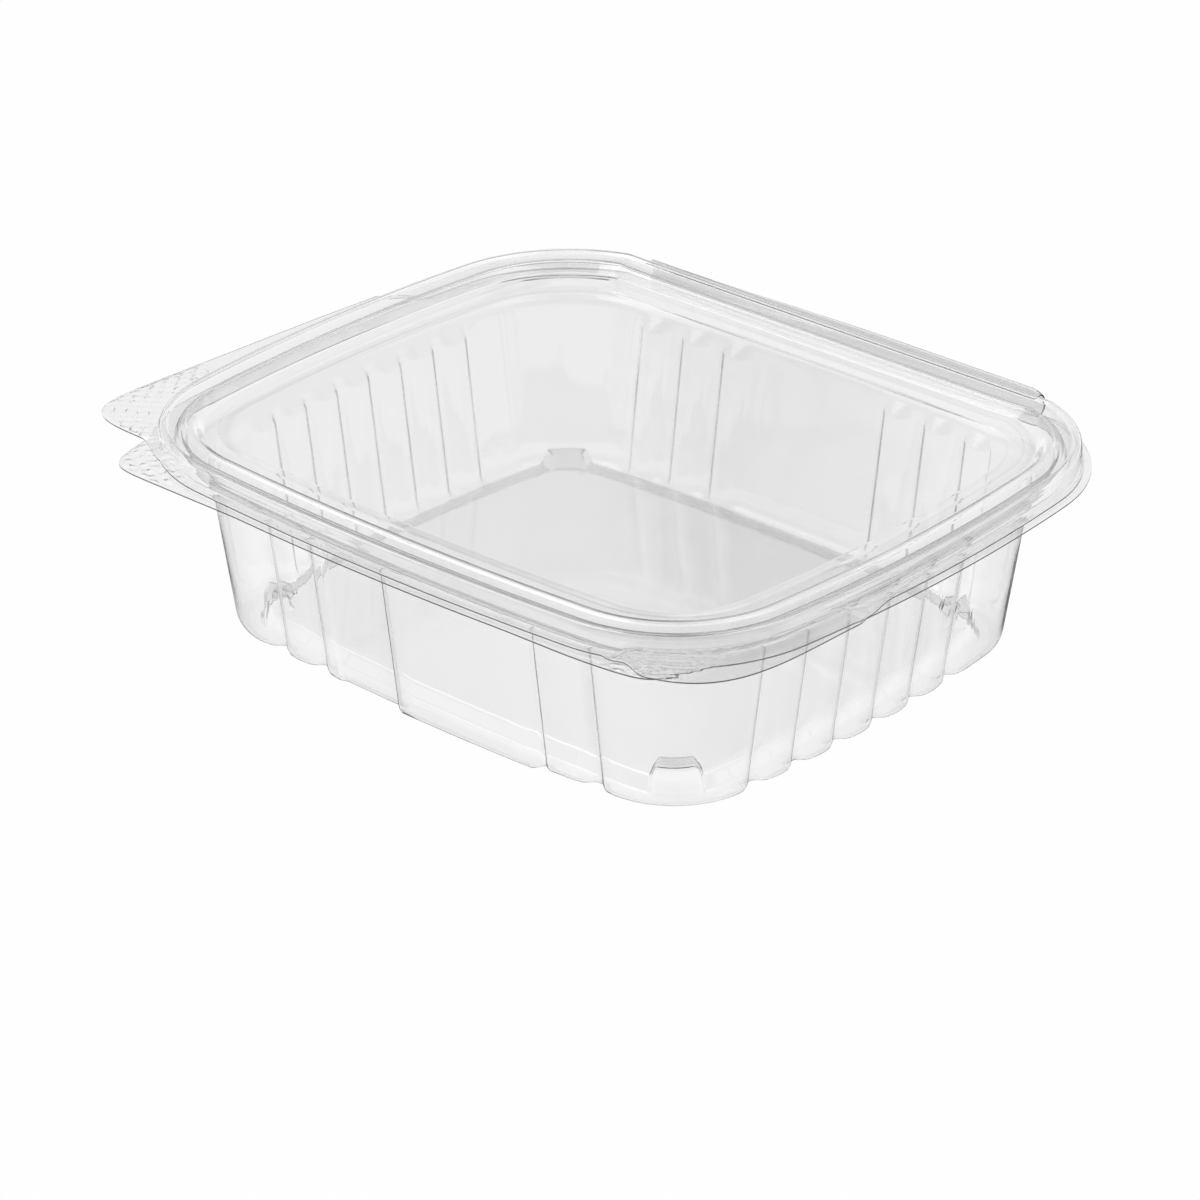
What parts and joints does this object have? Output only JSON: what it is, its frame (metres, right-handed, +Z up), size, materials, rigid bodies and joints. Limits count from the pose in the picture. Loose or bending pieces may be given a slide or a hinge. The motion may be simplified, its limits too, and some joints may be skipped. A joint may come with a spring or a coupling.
{
  "type": "hinged clear plastic food container",
  "caption": "Low rectangular clear clamshell pack with a ribbed tray and a recessed snap lid on a hinge along one long side.",
  "frame": {"origin": "bottom centre of the closed pack, on the table under the middle of the rim", "axes": "+X along the long side to the right as seen from the opening side, +Y towards the hinge, +Z up"},
  "size_m": [0.1923, 0.1629, 0.049],
  "materials": {
    "tray_sheet": "clear thermoformed PET, glossy",
    "lid_sheet": "clear thermoformed PET, glossy",
    "hinge_sheet": "clear thermoformed PET, glossy"
  },
  "bodies": {
    "tray": {"tray": "tray_sheet", "hinge_strip": "hinge_sheet"},
    "lid": {"lid": "lid_sheet"}
  },
  "joints": [
    {"name": "lid_hinge", "type": "hinge", "parent": "tray", "child": "lid", "pos_m": [0, 0.0789, 0.04515], "axis": [-1, 0, 0], "range_deg": [0, 180]}
  ]
}
